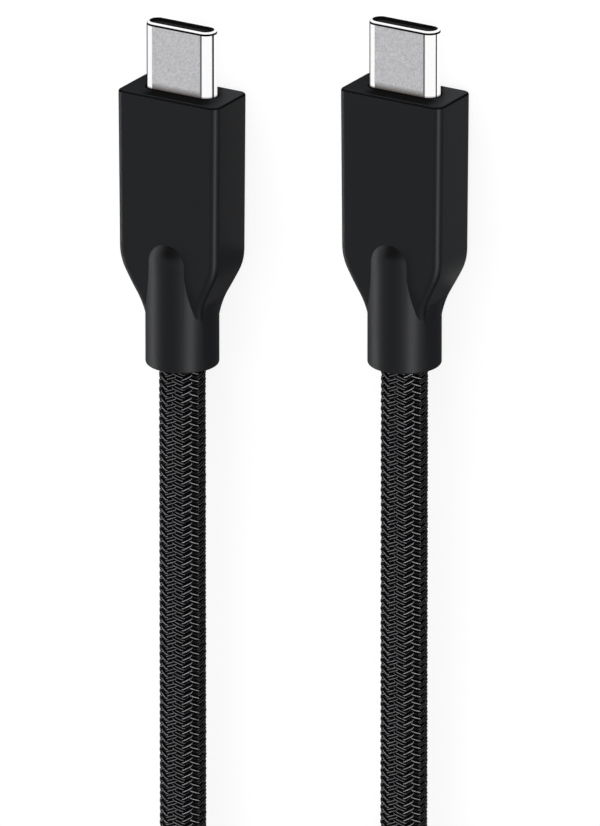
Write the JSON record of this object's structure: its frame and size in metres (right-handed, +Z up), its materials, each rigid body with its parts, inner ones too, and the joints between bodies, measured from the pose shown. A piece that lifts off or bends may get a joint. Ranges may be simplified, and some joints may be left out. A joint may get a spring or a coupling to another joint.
{
  "type": "charging cable",
  "caption": "Braided charging cable with a reversible plug on each end: flat matte housings with domed round collars, the spare length coiled and tied.",
  "frame": {"origin": "midway between the two plugs, on the table that the cable lies on", "axes": "+Y is the way both plugs point, +X runs across from the left plug to the right plug, +Z is up"},
  "size_m": [0.0602, 0.1627, 0.0115],
  "materials": {
    "plug_steel": "bead-blasted flats, polished ends",
    "carrier_plastic": "moulded, dark",
    "gold_contact": "gold plated",
    "spring_steel": "stamped spring steel",
    "green_card": "solder mask over glass fibre",
    "black_package": "moulded package",
    "ceramic": "ceramic",
    "tinned_steel": "tinned, stamped",
    "red_insulation": "wire insulation",
    "pale_insulation": "wire insulation",
    "braid": "woven black yarn",
    "ferrule_brass": "crimped",
    "inner_plastic": "hard inner moulding",
    "soft_touch_black": "soft-touch, matte black",
    "tie_strap": "hook and loop strap"
  },
  "bodies": {
    "root": {"left_plug_shell": "plug_steel", "left_contact_carrier": "carrier_plastic", "left_contacts_upper": "gold_contact", "left_contacts_lower": "gold_contact", "left_latch_plate": "spring_steel", "left_ground_spring_upper": "spring_steel", "left_ground_spring_lower": "spring_steel", "left_circuit_card": "green_card", "left_control_chip": "black_package", "left_capacitors": "ceramic", "left_shield_can_upper": "tinned_steel", "left_shield_can_lower": "tinned_steel", "left_power_wires": "red_insulation", "left_data_wires": "pale_insulation", "left_cord_end": "braid", "left_crimp_ferrule": "ferrule_brass", "left_inner_mould": "inner_plastic", "left_overmould": "soft_touch_black", "right_plug_shell": "plug_steel", "right_contact_carrier": "carrier_plastic", "right_contacts_upper": "gold_contact", "right_contacts_lower": "gold_contact", "right_latch_plate": "spring_steel", "right_ground_spring_upper": "spring_steel", "right_ground_spring_lower": "spring_steel", "right_circuit_card": "green_card", "right_control_chip": "black_package", "right_capacitors": "ceramic", "right_shield_can_upper": "tinned_steel", "right_shield_can_lower": "tinned_steel", "right_power_wires": "red_insulation", "right_data_wires": "pale_insulation", "right_cord_end": "braid", "right_crimp_ferrule": "ferrule_brass", "right_inner_mould": "inner_plastic", "right_overmould": "soft_touch_black", "left_cord": "braid", "right_cord": "braid", "cord_coil": "braid", "coil_tie": "tie_strap"}
  },
  "joints": []
}
